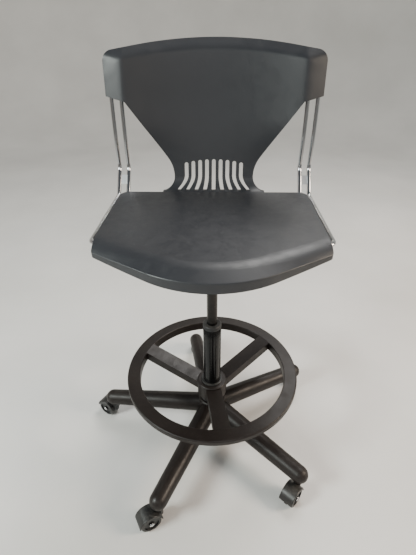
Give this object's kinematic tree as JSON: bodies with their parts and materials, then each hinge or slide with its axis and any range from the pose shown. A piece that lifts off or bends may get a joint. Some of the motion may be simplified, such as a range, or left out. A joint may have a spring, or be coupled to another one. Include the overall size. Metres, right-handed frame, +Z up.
{
  "type": "drafting chair",
  "caption": "Armless drafting chair with a moulded seat and slotted back on a bent-rod frame, gas lift, foot ring and twin-wheel casters.",
  "frame": {"origin": "on the floor, on the gas lift's axis", "axes": "+Z up along the gas lift, -Y the way the seat faces, +X the sitter's left"},
  "size_m": [0.6841, 0.7172, 1.0772],
  "materials": {
    "seat_plastic": "satin, fine moulded grain",
    "chrome": "polished",
    "black_plastic": "matte",
    "black_steel": "satin powder coat",
    "zinc_steel": "zinc plated",
    "ground_steel": "ground and dark plated",
    "guide_metal": "machined",
    "rubber": "matte",
    "column_paint": "gloss black",
    "base_plastic": "satin brown-black",
    "caster_plastic": "satin",
    "wheel_plastic": "semi-gloss, worn tread"
  },
  "bodies": {
    "base": {"five_arm_base": "base_plastic", "taper_sleeve": "zinc_steel", "caster_sockets": "zinc_steel", "column_tube": "column_paint", "column_floor_plate": "zinc_steel", "guide_bush": "black_plastic", "lower_race": "zinc_steel"},
    "gas_lift_rod": {"piston_rod": "ground_steel", "piston_head": "guide_metal", "rod_clip": "zinc_steel", "upper_race": "zinc_steel", "rubber_bumper": "rubber"},
    "seat": {"seat_and_back_shell": "seat_plastic", "outer_frame_rod": "chrome", "inner_frame_rod": "chrome", "bridge_plate_left": "chrome", "bridge_plate_right": "chrome", "rod_end_caps": "black_plastic", "rod_saddles": "black_plastic", "rod_guides": "black_plastic", "mounting_plate": "black_steel", "lever_housing": "black_steel", "taper_socket": "black_steel", "shell_screws": "zinc_steel", "lever_pivot_pin": "zinc_steel", "lever_return_spring": "zinc_steel", "pressure_cylinder": "ground_steel", "cylinder_end_guide": "guide_metal"},
    "height_lever": {"release_lever": "zinc_steel", "lever_grip": "black_plastic"},
    "valve_button": {"release_button": "black_plastic"},
    "foot_rest": {"foot_ring": "base_plastic", "ring_collet": "black_plastic", "collet_nut": "black_plastic"},
    "caster_1": {"caster_1_stem": "zinc_steel", "caster_1_hood": "caster_plastic", "caster_1_axle": "chrome"},
    "caster_1_left": {"caster_1_wheel_left": "wheel_plastic"},
    "caster_1_right": {"caster_1_wheel_right": "wheel_plastic"},
    "caster_2": {"caster_2_stem": "zinc_steel", "caster_2_hood": "caster_plastic", "caster_2_axle": "chrome"},
    "caster_2_left": {"caster_2_wheel_left": "wheel_plastic"},
    "caster_2_right": {"caster_2_wheel_right": "wheel_plastic"},
    "caster_3": {"caster_3_stem": "zinc_steel", "caster_3_hood": "caster_plastic", "caster_3_axle": "chrome"},
    "caster_3_left": {"caster_3_wheel_left": "wheel_plastic"},
    "caster_3_right": {"caster_3_wheel_right": "wheel_plastic"},
    "caster_4": {"caster_4_stem": "zinc_steel", "caster_4_hood": "caster_plastic", "caster_4_axle": "chrome"},
    "caster_4_left": {"caster_4_wheel_left": "wheel_plastic"},
    "caster_4_right": {"caster_4_wheel_right": "wheel_plastic"},
    "caster_5": {"caster_5_stem": "zinc_steel", "caster_5_hood": "caster_plastic", "caster_5_axle": "chrome"},
    "caster_5_left": {"caster_5_wheel_left": "wheel_plastic"},
    "caster_5_right": {"caster_5_wheel_right": "wheel_plastic"}
  },
  "joints": [
    {"name": "seat_swivel", "type": "hinge", "parent": "base", "child": "gas_lift_rod", "pos_m": [0, 0, 0.3], "axis": [0, 0, 1], "continuous": true},
    {"name": "seat_height", "type": "slide", "parent": "gas_lift_rod", "child": "seat", "axis": [0, 0, 1], "range_m": [-0.19, 0.06]},
    {"name": "height_lever", "type": "hinge", "parent": "seat", "child": "height_lever", "pos_m": [0.026, 0, 0.6903], "axis": [0, -1, 0], "range_deg": [0, 4.5], "stiffness_Nm_per_rad": 2, "springref_deg": -5.73},
    {"name": "valve_button", "type": "slide", "parent": "seat", "child": "valve_button", "axis": [0, 0, 1], "range_m": [-0.0025, 0]},
    {"name": "foot_ring_height", "type": "slide", "parent": "base", "child": "foot_rest", "axis": [0, 0, 1], "range_m": [-0.006, 0.15]},
    {"name": "caster_1_swivel", "type": "hinge", "parent": "base", "child": "caster_1", "pos_m": [-0.06625, 0.31439, 0.08], "axis": [0, 0, 1], "continuous": true},
    {"name": "caster_1_left_spin", "type": "hinge", "parent": "caster_1", "child": "caster_1_left", "pos_m": [-0.06729, 0.34408, 0.0275], "axis": [-0.9994, -0.0349, 0], "continuous": true},
    {"name": "caster_1_right_spin", "type": "hinge", "parent": "caster_1", "child": "caster_1_right", "pos_m": [-0.06729, 0.34408, 0.0275], "axis": [-0.9994, -0.0349, 0], "continuous": true},
    {"name": "caster_2_swivel", "type": "hinge", "parent": "base", "child": "caster_2", "pos_m": [-0.31948, 0.03414, 0.08], "axis": [0, 0, 1], "continuous": true},
    {"name": "caster_2_left_spin", "type": "hinge", "parent": "caster_2", "child": "caster_2_left", "pos_m": [-0.3452, 0.04899, 0.0275], "axis": [-0.5, -0.866, 0], "continuous": true},
    {"name": "caster_2_right_spin", "type": "hinge", "parent": "caster_2", "child": "caster_2_right", "pos_m": [-0.3452, 0.04899, 0.0275], "axis": [-0.5, -0.866, 0], "continuous": true},
    {"name": "caster_3_swivel", "type": "hinge", "parent": "base", "child": "caster_3", "pos_m": [-0.1312, -0.29329, 0.08], "axis": [0, 0, 1], "continuous": true},
    {"name": "caster_3_left_spin", "type": "hinge", "parent": "caster_3", "child": "caster_3_left", "pos_m": [-0.15692, -0.30814, 0.0275], "axis": [0.5, -0.866, 0], "continuous": true},
    {"name": "caster_3_right_spin", "type": "hinge", "parent": "caster_3", "child": "caster_3_right", "pos_m": [-0.15692, -0.30814, 0.0275], "axis": [0.5, -0.866, 0], "continuous": true},
    {"name": "caster_4_swivel", "type": "hinge", "parent": "base", "child": "caster_4", "pos_m": [0.2384, -0.21541, 0.08], "axis": [0, 0, 1], "continuous": true},
    {"name": "caster_4_left_spin", "type": "hinge", "parent": "caster_4", "child": "caster_4_left", "pos_m": [0.21931, -0.23816, 0.0275], "axis": [0.766, -0.6428, 0], "continuous": true},
    {"name": "caster_4_right_spin", "type": "hinge", "parent": "caster_4", "child": "caster_4_right", "pos_m": [0.21931, -0.23816, 0.0275], "axis": [0.766, -0.6428, 0], "continuous": true},
    {"name": "caster_5_swivel", "type": "hinge", "parent": "base", "child": "caster_5", "pos_m": [0.27853, 0.16016, 0.08], "axis": [0, 0, 1], "continuous": true},
    {"name": "caster_5_left_spin", "type": "hinge", "parent": "caster_5", "child": "caster_5_left", "pos_m": [0.27853, 0.18986, 0.0275], "axis": [-1, 0, 0], "continuous": true},
    {"name": "caster_5_right_spin", "type": "hinge", "parent": "caster_5", "child": "caster_5_right", "pos_m": [0.27853, 0.18986, 0.0275], "axis": [-1, 0, 0], "continuous": true}
  ],
  "couplings": [
    {"joint": "valve_button", "follows": "height_lever", "m_per_rad": -0.0285}
  ]
}
